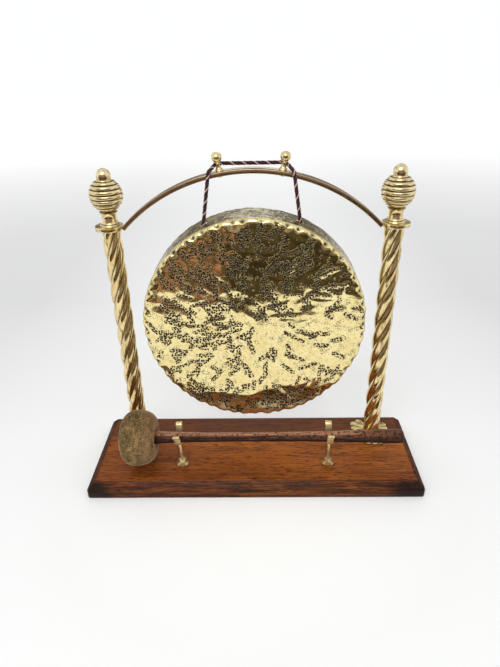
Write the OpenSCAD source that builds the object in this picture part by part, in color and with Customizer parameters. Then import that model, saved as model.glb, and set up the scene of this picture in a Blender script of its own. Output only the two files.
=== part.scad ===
// Tabletop tam tam gong: a brass gong hung on a cord from an arch between two rope-twist columns,
// on a bevelled wooden base with a padded mallet lying in two forked cradles.
// Millimetres. X runs along the base, Y away from the player, Z up.
// The origin is the middle of the base's underside.

/* [Base] */
// Length of the base board
base_len = 340; // [320:1:360]
// Depth of the base board, front to back
base_depth = 115; // [110:1:130]
// Thickness of the base board
base_thick = 17; // [16:0.5:20]
// Height of the upright lip below the bevel
lip_h = 8.8; // [7:0.1:10]
// Width of the bevel, seen from above
bevel_in = 7; // [4:0.5:9]
// Radius of the base's upright corners
corner_r = 3; // [1:0.5:6]

/* [Columns] */
// Distance from the middle to each column's axis
col_x = 130.6; // [128:0.1:134]
// Distance of the columns behind the middle of the base
col_y = 27; // [25:0.5:30]
// Height of the columns' tops above the table
col_top = 253.4; // [240:0.2:260]
// Radius over the rope's strands
rope_r = 9; // [8:0.1:10]
// Rise of one strand in one full turn
rope_lead = 94; // [80:1:120]

/* [Arch] */
// Thickness of the arch's flat strip
strip_t = 4; // [3:0.1:5]
// Width of the strip
strip_w = 12; // [10:0.5:14]
// Height of the arch's crown above its feet, at mid-thickness
arch_rise = 49.5; // [44:0.5:54]
// Distance between the arch's feet, at mid-thickness
arch_span = 235.2; // [230:0.2:240]
// Radius of the flattened eyelets on the columns
eyelet_r = 13; // [11:0.5:14]

/* [Gong] */
// Radius of the gong
gong_r = 107.7; // [98:0.1:109]
// Depth of the gong's rim
gong_depth = 38; // [30:1:42]
// Thickness of the beaten face
face_t = 0.8; // [0.8:0.1:1.4]
// Thickness of the rim
rim_t = 2.4; // [2:0.1:2.6]
// Height of the gong's middle above the table
gong_z = 161.8; // [160:0.2:163]
// Distance of the gong's middle to the right of the base's middle
gong_shift = 1; // [0:0.2:1]
// Lean of the gong as it hangs, top towards the player, in degrees
gong_lean = 1.6; // [0:0.1:2]

/* [Cord] */
// Diameter of the hanging cord
cord_d = 3.2; // [2.8:0.1:3.4]
// Height of the axis through the two knots that the gong hangs on
knot_z = 252.7; // [252:0.1:252.8]

/* [Mallet] */
// Diameter of the padded head
head_d = 55; // [48:1:56]
// Length of the padded head
head_len = 38; // [34:1:40]
// Distance of the head's middle to the left of the base's middle
head_x = 119.3; // [118:0.1:121]
// Height of the handle's axis above the table
mallet_z = 51; // [50:0.5:53]
// Distance of the mallet in front of the middle of the base
mallet_y = 25; // [24:0.5:27]

/* [Cradles] */
// Distance from the middle to each cradle
cradle_x = 75.8; // [70:0.1:80]
// Width of the forks' flat strip
fork_w = 6.4; // [5:0.2:8]
// Inner radius of the forks' bend
fork_r = 6.8; // [6.6:0.1:8]
// Sideways lean of the left cradle, in degrees
left_lean = 4; // [0:0.5:5]

/* [Hidden] */
$fn = 64;

brass = "#d2ae5a";
gong_brass = "#c9a544";
oak = "#7a3f22";
steel = "#9a9a98";
cord_black = "#2b2024";
dark_wood = "#3c2420";
suede = "#8a6d3f";

slack = 0.05;             // radial play between screwed or riveted pieces
air = 0.3;                // gap between pieces that move against each other

// Base fixings
rosette_t = 1.8;
counterbore_r = 9;
counterbore_h = 8;
base_stud_r = 2.9;
washer_t = 1.2;
nut_r = 5.6;
nut_h = 4.8;
column_bore_h = 13;
screw_r = 1.7;

// Rope section: four strands round the axis
strand_r = rope_r * 0.52;
strand_off = rope_r - strand_r;
col_base = base_thick + rosette_t;

// Arch: one arc through both feet and the crown
arch_r = (pow(arch_span / 2, 2) + pow(arch_rise, 2)) / (2 * arch_rise);
arch_cz = col_top + strip_t / 2 + arch_rise - arch_r;
strip_front = col_y - strip_w / 2;
eyelet_x = col_x + 1.2;
tie_r = 2.4;
eyelet_top = col_top + strip_t;

// Finial: a ribbed ball on a waisted foot, closed by a domed cap
ball_r = 14.2;
ball_h = 27.5;
rib_r = 2.15;
rib_ring = 13.25;         // distance of the ribs' middles from the middle of the ball
rib_count = 9;
rib_step = 17;
cap_h = 41.4;
cap_r = 6.4;
cap_side = 3.2;

// Cord pegs stand square to the strip
peg_angle = 9.7;
peg_ball_r = 4.6;
peg_ball_h = 11.6;
spigot_r = 1.6;

// Gong and its hanging
rim_bead_r = 3.2;
edge_r = 4;
cord_r = cord_d / 2;
cord_y = strip_front - cord_r - air;
knot_x = 44.7;
knot_r = 3.2;
hole_r = 2.8;
hole_depth = 18.4;        // of the cord holes behind the gong's face
pivot_z = 297.5;          // the cord bends here, just below the strip
pivot_x = 38.2;
leg_slant = atan((knot_x - pivot_x) / (pivot_z - knot_z));

// Right half of the cord over the arch, from the strip's front face to the middle
CORD_HALF = [
    [38.1, 19.1, 298.4], [37.9, 19.1, 300], [37.6, 19.1, 301.8], [37.4, 19.2, 303.5], [36.8, 20.2, 304.9],
    [35.6, 22.2, 306], [34, 25, 307.4], [32.4, 28.3, 308.8], [30.6, 30.6, 309.8], [27.5, 31.4, 310.2],
    [22, 31.2, 310.2], [14, 31, 310.2], [7, 31, 310.2], [0, 31, 310.2]
];
cord_sides = 8;

// Mallet: radius of the handle along its length
HANDLE = [
    [-102, 4.5], [-102, 6.3], [-97, 6.2], [-86, 5.6], [-76, 5.35], [-55, 4.8], [0, 4.6], [45, 4.8],
    [76, 5.3], [95, 5.9], [112, 6.6], [124, 6.9], [146, 6.9], [149.4, 5.9], [150.5, 4]
];
tenon_r = 4.5;
core_r = 20;
core_len = 25;
head_round = 15;

// Cradles
fork_t = 1.6;
fork_splay = 14;          // outward lean of the fork's arms, in degrees
fork_arm = 8.5;
curl_r = 1.8;
curl_turn = 110;
seat_r = 5.45;            // of the handle where it lies in the forks
fork_cz = mallet_z + fork_r - seat_r - 0.5;
rivet_r = 1.4;
lean_z = base_thick + 9;

module at_sides(s) { translate([s * col_x, col_y, 0]) children(); }

module tilt_with_gong() {
    translate([0, cord_y, knot_z]) rotate([gong_lean, 0, 0])
        translate([gong_shift, -hole_depth, gong_z - knot_z]) children();
}

module cradle_at(s, lean) {
    translate([s * cradle_x, -mallet_y, lean_z]) rotate([0, lean, 0]) translate([0, 0, -lean_z]) children();
}

module base_board() {
    color(oak) difference() {
        intersection() {
            rotate([90, 0, 0]) translate([0, 0, -base_depth]) linear_extrude(2 * base_depth)
                bevelled_section(base_len);
            rotate([90, 0, 90]) translate([0, 0, -base_len]) linear_extrude(2 * base_len)
                bevelled_section(base_depth);
            linear_extrude(base_thick) rounded_plan(base_len, base_depth, corner_r);
        }
        for (s = [-1, 1]) {
            at_sides(s) translate([0, 0, -1]) cylinder(r = base_stud_r + slack, h = base_thick + 2);
            at_sides(s) translate([0, 0, -1]) cylinder(r = counterbore_r, h = counterbore_h + 1);
            translate([s * cradle_x, -mallet_y, 6.5]) cylinder(r = screw_r + slack, h = base_thick);
        }
    }
}

module bevelled_section(width) {
    polygon([
        [-width / 2, 0], [width / 2, 0], [width / 2, lip_h], [width / 2 - bevel_in, base_thick],
        [-width / 2 + bevel_in, base_thick], [-width / 2, lip_h]
    ]);
}

module rounded_plan(length, depth, r) {
    square([length - 2 * r, depth], center = true);
    square([length, depth - 2 * r], center = true);
    for (x = [-1, 1], y = [-1, 1]) translate([x * (length / 2 - r), y * (depth / 2 - r)]) circle(r);
}

// Three ivy leaves in one cast plate, under the column's foot
module rosette(s) {
    color(brass) difference() {
        at_sides(s) translate([0, 0, base_thick]) {
            cylinder(r = 10.5, h = rosette_t);
            for (a = [-90, 30, 150]) rotate(a) linear_extrude(rosette_t) {
                translate([19.8, 0]) circle(4.8);
                for (m = [-1, 1]) {
                    translate([16, m * 5.6]) circle(4.2);
                    translate([10, m * 6.4]) circle(3.8);
                }
                translate([12, 0]) circle(6.6);
            }
        }
        at_sides(s) cylinder(r = base_stud_r + slack, h = 40);
    }
}

module rope_section() {
    for (k = [0:3]) rotate(90 * k) translate([strand_off, 0]) circle(strand_r, $fn = 14);
}

module column(s) {
    rope_h = col_top - col_base;
    color(brass) at_sides(s) translate([0, 0, col_base]) difference() {
        linear_extrude(rope_h, twist = -360 * rope_h / rope_lead, slices = 44) rope_section();
        translate([0, 0, -1]) cylinder(r = base_stud_r + slack, h = column_bore_h + 1);
        translate([0, 0, rope_h - column_bore_h]) cylinder(r = tie_r + slack, h = column_bore_h + 1);
    }
}

module base_stud(s) {
    color(steel) at_sides(s) translate([0, 0, 1.5]) cylinder(r = base_stud_r, h = col_base + 9);
}

module base_washer(s) {
    color(steel) at_sides(s) translate([0, 0, counterbore_h - washer_t]) difference() {
        cylinder(r = 8, h = washer_t);
        translate([0, 0, -1]) cylinder(r = base_stud_r + slack, h = washer_t + 2);
    }
}

module base_nut(s) {
    color(steel) at_sides(s) translate([0, 0, counterbore_h - washer_t - nut_h]) difference() {
        cylinder(r = nut_r, h = nut_h, $fn = 6);
        translate([0, 0, -1]) cylinder(r = base_stud_r + slack, h = nut_h + 2);
    }
}

module arch_outline() {
    intersection() {
        difference() {
            circle(arch_r + strip_t / 2, $fn = 160);
            circle(arch_r - strip_t / 2, $fn = 160);
        }
        translate([-arch_r, col_top - arch_cz]) square([2 * arch_r, arch_r]);
    }
}

module on_strip(s) {
    translate([0, col_y, arch_cz]) rotate([0, s * peg_angle, 0])
        translate([0, 0, arch_r + strip_t / 2]) children();
}

module arch_bar() {
    foot_x = arch_span / 2 + 0.4;
    color(brass) difference() {
        union() {
            translate([0, strip_front + strip_w, arch_cz]) rotate([90, 0, 0])
                linear_extrude(strip_w) arch_outline();
            for (s = [-1, 1]) {
                translate([s * eyelet_x, col_y, col_top]) cylinder(r = eyelet_r, h = strip_t);
                translate([s * (foot_x + eyelet_x) / 2, col_y, col_top + strip_t / 2])
                    cube([eyelet_x - foot_x, strip_w, strip_t], center = true);
            }
        }
        for (s = [-1, 1]) {
            at_sides(s) translate([0, 0, col_top - 1]) cylinder(r = tie_r + slack, h = strip_t + 2);
            on_strip(s) translate([0, 0, -strip_t - 2]) cylinder(r = spigot_r + slack, h = strip_t + 4);
        }
    }
}

module tie_stud(s) {
    stud_h = column_bore_h + strip_t + cap_h + 2;
    color(steel) at_sides(s) translate([0, 0, col_top - column_bore_h + 1]) cylinder(r = tie_r, h = stud_h);
}

module finial_outline() {
    polygon([
        [0, 0], [8.8, 0], [9.1, 0.8], [8.8, 1.7], [8.1, 2.1], [7.6, 3.2], [6.9, 5.2], [6.5, 7.6],
        [6.6, 9.6], [7.3, 11.4], [8.4, 12.8], [8.4, 16], [0, 16]
    ]);
    translate([0, ball_h]) intersection() {
        union() {
            circle(ball_r);
            for (i = [0:rib_count - 1]) rotate((i - (rib_count - 1) / 2) * rib_step)
                translate([rib_ring, 0]) circle(rib_r, $fn = 24);
        }
        translate([0, -20]) square([20, 20 + cap_h - ball_h]);
    }
}

module finial(s) {
    color(brass) at_sides(s) translate([0, 0, eyelet_top]) difference() {
        rotate_extrude() finial_outline();
        translate([0, 0, -1]) cylinder(r = tie_r + slack, h = cap_h + 2);
    }
}

module finial_cap(s) {
    color(brass) at_sides(s) translate([0, 0, eyelet_top + cap_h]) difference() {
        union() {
            cylinder(r = cap_r, h = cap_side);
            translate([0, 0, cap_side]) intersection() {
                sphere(cap_r);
                cylinder(r = cap_r + 1, h = cap_r + 1);
            }
        }
        translate([0, 0, -1]) cylinder(r = tie_r + slack, h = 5);
    }
}

module cord_peg(s) {
    color(brass) on_strip(s) {
        rotate_extrude() {
            polygon([
                [0, 0], [3.8, 0], [3.9, 0.6], [3.6, 1.4], [2.9, 1.9], [2.3, 3], [2.1, 4.6],
                [2.2, 6.2], [2.8, 7.6], [2.8, 9], [0, 9]
            ]);
            translate([0, peg_ball_h]) intersection() {
                circle(peg_ball_r);
                translate([0, -10]) square([10, 20]);
            }
        }
        translate([0, 0, -strip_t - 1]) cylinder(r = spigot_r, h = strip_t + 2);
        translate([0, 0, -strip_t - 1.1]) cylinder(r = 2.6, h = 1);
    }
}

// Half section of the gong: radius across, depth behind the face upwards
module gong_outline() {
    difference() {
        union() {
            square([gong_r - edge_r, face_t]);
            translate([gong_r - edge_r, edge_r]) intersection() {
                circle(edge_r);
                translate([0, -edge_r]) square(edge_r);
            }
            translate([gong_r - rim_t, edge_r]) square([rim_t, gong_depth - edge_r - rim_bead_r]);
        }
        translate([gong_r - edge_r, edge_r]) circle(edge_r - rim_t);
        translate([gong_r - edge_r - 5, edge_r]) square([5 + edge_r - rim_t, 4]);
        translate([gong_r - edge_r - 5, face_t]) square([5, edge_r]);
    }
    translate([gong_r - rim_bead_r, gong_depth - rim_bead_r]) circle(rim_bead_r);
}

module gong() {
    color(gong_brass) difference() {
        tilt_with_gong() rotate([-90, 0, 0]) rotate_extrude($fn = 128) gong_outline();
        for (s = [-1, 1]) translate([s * knot_x, cord_y, knot_z]) rotate([0, -s * leg_slant, 0])
            cylinder(r = hole_r, h = 14);
    }
}

// A tube swept along a route, one ring of points at each place on it
function unit(v) = v / norm(v);
function along(p, i) = unit(p[min(i + 1, len(p) - 1)] - p[max(i - 1, 0)]);
function across(t) = unit(cross(abs(t[1]) < 0.9 ? [0, 1, 0] : [1, 0, 0], t));
function ring(p, i) = let (t = along(p, i), u = across(t), v = cross(t, u))
    [for (k = [0:cord_sides - 1]) let (a = 360 * k / cord_sides) p[i] + cord_r * (cos(a) * u + sin(a) * v)];

module tube(p) {
    n = len(p);
    m = cord_sides;
    polyhedron(
        [for (i = [0:n - 1]) each ring(p, i)],
        concat(
            [[for (k = [0:m - 1]) k]],
            [[for (k = [m - 1:-1:0]) (n - 1) * m + k]],
            [for (i = [0:n - 2], k = [0:m - 1])
                [i * m + k, (i + 1) * m + k, (i + 1) * m + (k + 1) % m, i * m + (k + 1) % m]]
        )
    );
}

module cord_top() {
    other_half = [for (i = [len(CORD_HALF) - 2:-1:0]) [-CORD_HALF[i][0], CORD_HALF[i][1], CORD_HALF[i][2]]];
    color(cord_black) tube(concat(CORD_HALF, other_half));
}

module cord_leg(s) {
    foot = [s * knot_x, cord_y, knot_z];
    head = [s * pivot_x, cord_y, pivot_z];
    rings = 7;
    color(cord_black) tube([
        for (i = [0:rings - 1]) foot + (head - foot) * (0.05 + 0.93 * i / (rings - 1))
    ]);
}

module cord_knot(s) {
    color(cord_black) translate([s * knot_x, cord_y, knot_z]) {
        sphere(knot_r);
        translate([0, 0, -knot_r - 5]) cylinder(r = cord_r, h = 6);
    }
}

module along_mallet() { translate([0, -mallet_y, mallet_z]) rotate([0, 90, 0]) children(); }

module mallet_handle() {
    n = len(HANDLE);
    color(dark_wood) along_mallet() rotate_extrude() polygon(concat(
        [[0, -head_x - core_len / 2], [tenon_r, -head_x - core_len / 2]],
        [for (p = HANDLE) [p[1], p[0]]],
        [[0, HANDLE[n - 1][0]]]
    ));
}

module mallet_core() {
    color(dark_wood) along_mallet() translate([0, 0, -head_x - core_len / 2]) difference() {
        cylinder(r = core_r, h = core_len);
        translate([0, 0, -1]) cylinder(r = tenon_r + slack, h = core_len + 2);
    }
}

module mallet_cover() {
    color(suede) along_mallet() translate([0, 0, -head_x]) rotate_extrude() difference() {
        union() {
            for (m = [-1, 1]) translate([head_d / 2 - head_round, m * (head_len / 2 - head_round)])
                circle(head_round);
            translate([0, -head_len / 2]) square([head_d / 2 - head_round, head_len]);
            translate([0, -head_len / 2 + head_round]) square([head_d / 2, head_len - 2 * head_round]);
        }
        translate([-head_d, -head_len]) square([head_d, 2 * head_len]);
        translate([0, -core_len / 2 - slack]) square([core_r + slack, core_len + 2 * slack]);
        translate([0, 0]) square([tenon_r + slack, head_x - 102]);
        translate([0, head_x - 102 - slack]) square([6.3 + slack, head_len]);
    }
}

module cradle_post(s, lean) {
    color(brass) difference() {
        union() {
            translate([s * cradle_x, -mallet_y, base_thick]) rotate_extrude() polygon([
                [0, 0], [7.2, 0], [7.4, 0.8], [7.2, 1.8], [6.2, 2.4], [5.2, 3.8], [4.4, 5.6], [4, 7.4],
                [4.5, 8], [4.6, 8.8], [4.2, 9.6], [3.2, 10], [0, 10]
            ]);
            cradle_at(s, lean) translate([0, 0, lean_z - 1])
                cylinder(r = 3.1, h = fork_floor() - lean_z + 1);
        }
        translate([s * cradle_x, -mallet_y, base_thick - 1]) cylinder(r = screw_r + slack, h = 7);
        cradle_at(s, lean) translate([0, 0, fork_floor() - 6]) cylinder(r = rivet_r + slack, h = 8);
    }
}

function fork_floor() = fork_cz - fork_r - fork_t;

module cradle_screw(s) {
    color(steel) translate([s * cradle_x, -mallet_y, 6.8])
        cylinder(r = screw_r, h = base_thick - 6.8 + 5.6);
}

// One face of the strip on the right half of the fork, at a depth below the inner face:
// from the bottom round to the straight arm, then over the curled tip
function lean_out(p) = [
    p[0] * cos(fork_splay) + p[1] * sin(fork_splay),
    p[1] * cos(fork_splay) - p[0] * sin(fork_splay)
];
function fork_face(depth) = let (curl_x = fork_r + fork_t + curl_r) [
    for (i = [0:8]) let (a = (fork_splay - 90) * (1 - i / 8)) lean_out((fork_r + depth) * [cos(a), sin(a)]),
    for (i = [0:10]) let (a = 180 - curl_turn * i / 10)
        lean_out([curl_x, fork_arm] + (fork_t + curl_r - depth) * [cos(a), sin(a)])
];
function backwards(p) = [for (i = [len(p) - 1:-1:0]) p[i]];
function mirrored(p) = [for (i = [1:len(p) - 1]) [-p[i][0], p[i][1]]];   // without the point on the middle

module fork_outline() {
    inner = fork_face(0);
    outer = fork_face(fork_t);
    polygon(concat(backwards(mirrored(inner)), inner, backwards(outer), mirrored(outer)));
}

module cradle_fork(s, lean) {
    color(brass) cradle_at(s, lean) difference() {
        translate([-fork_w / 2, 0, fork_cz]) rotate([90, 0, 90]) linear_extrude(fork_w) fork_outline();
        translate([0, 0, fork_floor() - 1]) cylinder(r = rivet_r + slack, h = 4);
    }
}

module fork_rivet(s, lean) {
    color(brass) cradle_at(s, lean) translate([0, 0, fork_floor() - 5.5])
        cylinder(r = rivet_r, h = 5.5 + fork_t - 0.2);
}

base_board();
rosette(-1);  // rosette_left
rosette(1);  // rosette_right
column(-1);  // column_left
column(1);  // column_right
base_stud(-1);  // base_stud_left
base_stud(1);  // base_stud_right
base_washer(-1);  // base_washer_left
base_washer(1);  // base_washer_right
base_nut(-1);  // base_nut_left
base_nut(1);  // base_nut_right
arch_bar();
tie_stud(-1);  // tie_stud_left
tie_stud(1);  // tie_stud_right
finial(-1);  // finial_left
finial(1);  // finial_right
finial_cap(-1);  // finial_cap_left
finial_cap(1);  // finial_cap_right
cord_peg(-1);  // cord_peg_left
cord_peg(1);  // cord_peg_right
gong();
cord_top();
cord_leg(-1);  // cord_leg_left
cord_leg(1);  // cord_leg_right
cord_knot(-1);  // cord_knot_left
cord_knot(1);  // cord_knot_right
mallet_handle();
mallet_core();
mallet_cover();
cradle_post(-1, -left_lean);  // cradle_post_left
cradle_post(1, 0);  // cradle_post_right
cradle_screw(-1);  // cradle_screw_left
cradle_screw(1);  // cradle_screw_right
cradle_fork(-1, -left_lean);  // cradle_fork_left
cradle_fork(1, 0);  // cradle_fork_right
fork_rivet(-1, -left_lean);  // fork_rivet_left
fork_rivet(1, 0);  // fork_rivet_right
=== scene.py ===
"""Looks of a tabletop tam tam gong: a beaten brass gong on a cord, between rope-twist columns.

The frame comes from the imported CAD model. Lengths below are millimetres unless a name says otherwise,
and mesh_piece() turns them into metres. X runs along the base, Y away from the player and Z up.
"""

import math

import bmesh
import bpy
import numpy as np
from mathutils import Matrix, Vector


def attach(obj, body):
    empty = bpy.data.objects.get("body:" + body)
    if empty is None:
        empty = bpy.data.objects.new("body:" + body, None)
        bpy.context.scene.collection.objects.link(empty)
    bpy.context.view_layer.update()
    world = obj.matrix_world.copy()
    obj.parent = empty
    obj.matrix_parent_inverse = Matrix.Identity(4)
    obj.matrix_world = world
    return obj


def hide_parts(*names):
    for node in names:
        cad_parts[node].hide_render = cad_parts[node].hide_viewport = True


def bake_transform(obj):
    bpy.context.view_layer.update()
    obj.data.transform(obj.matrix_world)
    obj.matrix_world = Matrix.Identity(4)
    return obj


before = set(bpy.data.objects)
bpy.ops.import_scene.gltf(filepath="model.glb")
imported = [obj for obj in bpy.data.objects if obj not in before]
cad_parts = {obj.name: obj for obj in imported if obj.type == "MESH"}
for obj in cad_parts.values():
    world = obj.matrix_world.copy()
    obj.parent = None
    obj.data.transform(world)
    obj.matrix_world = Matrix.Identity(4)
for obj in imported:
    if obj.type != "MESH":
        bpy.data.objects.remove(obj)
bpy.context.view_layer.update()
MM = 0.001
SIDES = {"left": -1, "right": 1}

# The design's own dimensions, as in the CAD source
COL_X, COL_Y, COL_TOP, COL_BASE = 130.6, 27, 253.4, 18.8
ROPE_R, ROPE_LEAD = 9, 94
STRIP_T, STRIP_W = 4, 12
ARCH_R, ARCH_Z, PEG_ANGLE = 164.4, 140.4, 9.7
BORE_R = 2.45
EYELET_X, EYELET_R = 131.8, 13
BASE_LEN, BASE_DEPTH, BASE_THICK = 340, 115, 17
COUNTERBORE, STUD_HOLE = (9, -1, 8), (2.95, 7, 19)  # radius, from, to
CORD_D, CORD_Y = 3.2, 19.1
KNOT_X, KNOT_Z = 44.7, 252.7
MALLET_Y, MALLET_Z, HEAD_X = 25, 51, 119.3
CRADLE_X = 75.8


# ---- objects and camera

def new_object(name, data):
    added = bpy.data.objects.new(name, data)
    bpy.context.scene.collection.objects.link(added)
    return added


def make_camera():
    """At the reference view: from the front, looking down by 28 degrees."""
    data = bpy.data.cameras.new("camera")
    data.sensor_width = 36
    data.lens = 28
    data.clip_start = 0.02
    camera = new_object("camera", data)
    turn = Matrix.Rotation(math.radians(1.21), 3, "Z")
    tip = Matrix.Rotation(math.radians(90 - 28.2), 3, "X")
    roll = Matrix.Rotation(math.radians(-1.12), 3, "Z")
    camera.matrix_world = Matrix.Translation((0.0061, -0.4406, 0.3933)) @ (turn @ tip @ roll).to_4x4()
    bpy.context.scene.camera = camera


make_camera()


# ---- mesh tools

def mesh_piece(name, points, faces, materials, body, stands_for=None, sharp=38, face_slots=None):
    """A piece of the object from points in millimetres, riding on a body. Its name is that of the node
    it stands for, with one more word, unless stands_for says otherwise."""
    mesh = bpy.data.meshes.new(name)
    mesh.from_pydata((np.asarray(points, float) * MM).tolist(), [], faces)
    mesh.validate()
    mesh.shade_smooth()
    mesh.set_sharp_from_angle(angle=math.radians(sharp))
    for material in materials if isinstance(materials, list) else [materials]:
        mesh.materials.append(material)
    if face_slots is not None:
        mesh.polygons.foreach_set("material_index", np.asarray(face_slots, np.int32))
    piece = new_object(name, mesh)
    if body:
        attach(piece, body)
    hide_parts(*(stands_for or [name.rsplit("_", 1)[0]]))
    return piece


def set_values(piece, name, values):
    """Stores one number for each point of a piece, which its material reads by name."""
    attribute = piece.data.attributes.new(name, "FLOAT", "POINT")
    attribute.data.foreach_set("value", np.asarray(values, np.float32))


def grid_faces(rows, columns, closed_rows=False):
    """Quads between rows of points that each close on themselves."""
    faces = []
    for i in range(rows if closed_rows else rows - 1):
        a, b = i * columns, (i + 1) % rows * columns
        for j in range(columns):
            k = (j + 1) % columns
            faces.append((a + j, a + k, b + k, b + j))
    return faces


def stacked(rings):
    """Rings of points, one after another, with a lid at both ends."""
    n = len(rings[0])
    faces = grid_faces(len(rings), n)
    faces.append(tuple(range(n))[::-1])
    faces.append(tuple((len(rings) - 1) * n + j for j in range(n)))
    return np.vstack(rings), faces


def flipped(faces):
    return [face[::-1] for face in faces]


def joined(*shells):
    """Several (points, faces) shells as one."""
    points, faces, start = [], [], 0
    for shell_points, shell_faces in shells:
        points.append(np.asarray(shell_points, float))
        faces += [tuple(start + v for v in face) for face in shell_faces]
        start += len(shell_points)
    return np.vstack(points), faces


def lathe(outline, segments):
    """A turned solid round Z from (radius, height) points, bottom first. Radius 0 at an end closes it."""
    outline = [tuple(p) for p in outline]
    closed = outline[0][0] > 0 and outline[-1][0] > 0
    inner = outline if closed else outline[1:-1]
    angles = all_round(segments)
    points = [(r * math.cos(a), r * math.sin(a), h) for r, h in inner for a in angles]
    faces = grid_faces(len(inner), segments, closed)
    if not closed:
        bottom, top = len(points), len(points) + 1
        points += [(0, 0, outline[0][1]), (0, 0, outline[-1][1])]
        last = (len(inner) - 1) * segments
        for j in range(segments):
            k = (j + 1) % segments
            faces.append((bottom, k, j))
            faces.append((top, last + j, last + k))
    return np.array(points), faces


def spline(points, steps):
    """A smooth curve through given points, which are kept."""
    p = np.asarray(points, float)
    padded = np.vstack([2 * p[0] - p[1], p, 2 * p[-1] - p[-2]])
    curve = []
    for i in range(len(p) - 1):
        a, b, c, d = padded[i:i + 4]
        for t in np.arange(steps) / steps:
            curve.append(0.5 * (2 * b + (c - a) * t + (2 * a - 5 * b + 4 * c - d) * t ** 2
                                + (3 * b - a - 3 * c + d) * t ** 3))
    return np.array(curve + [p[-1]])


def arc(cx, cy, radius, start, end, steps):
    """Points on a circle, from one angle to another, in degrees."""
    return polar(radius, np.radians(np.linspace(start, end, steps + 1))) + [cx, cy]


def all_round(count):
    """Angles evenly round a circle."""
    return np.arange(count) * 2 * np.pi / count


def polar(radius, angles):
    return np.column_stack([radius * np.cos(angles), radius * np.sin(angles)])


def rounded_box_outline(width, height, radius, steps=3):
    """A rectangle about the origin with round corners, anticlockwise."""
    corners = []
    for sx, sy, start in ((1, 1, 0), (-1, 1, 90), (-1, -1, 180), (1, -1, 270)):
        x, y = sx * (width / 2 - radius), sy * (height / 2 - radius)
        corners.append(arc(x, y, radius, start, start + 90, steps))
    return np.vstack(corners)


def lobed_radius(angle, lobes):
    """Distance from the middle to the outside of a group of circles, along an angle.
    lobes: (angle of the circle's middle, its distance, its radius)."""
    angle = np.asarray(angle, float)
    best = np.zeros_like(angle)
    for middle, distance, radius in lobes:
        off = angle - middle
        inside = radius ** 2 - (distance * np.sin(off)) ** 2
        reach = distance * np.cos(off) + np.sqrt(np.maximum(inside, 0))
        best = np.maximum(best, np.where(inside > 0, reach, 0))
    return best


def sweep(path, section, spin=None, up=(0, 1, 0)):
    """A closed section of (x, y) points swept along a path, turned by spin's angles on the way."""
    path = np.asarray(path, float)
    tangent = np.gradient(path, axis=0)
    tangent /= np.linalg.norm(tangent, axis=1)[:, None]
    side = np.cross(up, tangent[0])
    side /= np.linalg.norm(side)
    rings = []
    for i, t in enumerate(tangent):
        side = side - t * np.dot(side, t)
        side /= np.linalg.norm(side)
        over, ring = np.cross(t, side), section
        if spin is not None:
            c, s = math.cos(spin[i]), math.sin(spin[i])
            ring = section @ np.array([[c, s], [-s, c]])
        rings.append(path[i] + ring[:, :1] * side + ring[:, 1:] * over)
    return stacked(rings)


def lengths_along(path):
    steps = np.linalg.norm(np.diff(path, axis=0), axis=1)
    return np.concatenate([[0], np.cumsum(steps)])


def even_path(path, spacing):
    """The same path with points a fixed length apart."""
    at = lengths_along(path)
    wanted = np.linspace(0, at[-1], max(2, int(at[-1] / spacing)) + 1)
    return np.column_stack([np.interp(wanted, at, path[:, k]) for k in range(3)])


def wobble(points, size, seed):
    """Smooth random waves of about one size in millimetres, from roughly -1 to 1."""
    rng, waves = np.random.default_rng(seed), 26
    directions = rng.normal(size=(waves, 3))
    directions /= np.linalg.norm(directions, axis=1)[:, None]
    pitch = 2 * np.pi / size * rng.uniform(0.6, 1.5, waves)
    phase = rng.uniform(0, 2 * np.pi, waves)
    field = np.cos(np.asarray(points) @ (directions * pitch[:, None]).T + phase)
    return field.sum(axis=1) / math.sqrt(waves / 2) / 1.6


def turned(points, degrees, axis):
    matrix = np.array(Matrix.Rotation(math.radians(degrees), 3, axis))
    return np.asarray(points, float) @ matrix.T


def moved(points, x=0, y=0, z=0):
    return np.asarray(points, float) + np.array([x, y, z], float)


def cut_away(piece, cutters):
    """Takes closed cutters (points, faces in millimetres) out of a piece."""
    for points, faces in cutters:
        mesh = bpy.data.meshes.new("cutter")
        mesh.from_pydata((np.asarray(points) * MM).tolist(), [], faces)
        cutter = new_object("cutter", mesh)
        modifier = piece.modifiers.new("cut", "BOOLEAN")
        modifier.object = cutter
        modifier.solver = "MANIFOLD"
        shaped = bpy.data.meshes.new_from_object(piece.evaluated_get(bpy.context.evaluated_depsgraph_get()))
        piece.modifiers.clear()
        piece.data = shaped
        bpy.data.objects.remove(cutter)
    # The cuts leave slivers, which go
    clean = bmesh.new()
    clean.from_mesh(piece.data)
    bmesh.ops.dissolve_degenerate(clean, dist=2e-6, edges=clean.edges)
    clean.to_mesh(piece.data)
    clean.free()


# ---- materials

def operation(how):
    """A method that makes a Math node from a value and another value or a number."""
    return lambda value, other=0.0: value.paint.math(how, value, other)


class Value:
    """A node's output that can stand in sums and products."""

    __add__, __sub__, __mul__ = operation("ADD"), operation("SUBTRACT"), operation("MULTIPLY")
    __truediv__, __pow__, __abs__ = operation("DIVIDE"), operation("POWER"), operation("ABSOLUTE")
    or_more = operation("MAXIMUM")

    def __init__(self, paint, socket):
        self.paint, self.socket = paint, socket

    def spread(self, low, high, from_low=0.0, from_high=1.0):
        """From low to high, while the value goes from from_low to from_high."""
        inputs = {"Value": self, "From Min": from_low, "From Max": from_high, "To Min": low, "To Max": high}
        return self.paint.node("MapRange", 0, inputs)

    def ramp(self, *stops):
        """stops: (position, grey or colour) pairs."""
        ramped = self.paint.node("ValToRGB", "Color", {"Fac": self})
        elements = ramped.socket.node.color_ramp.elements
        while len(elements) < len(stops):
            elements.new(0.5)
        for element, (position, colour) in zip(elements, stops):
            element.position = position
            element.color = with_alpha(colour)
        return ramped


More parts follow.
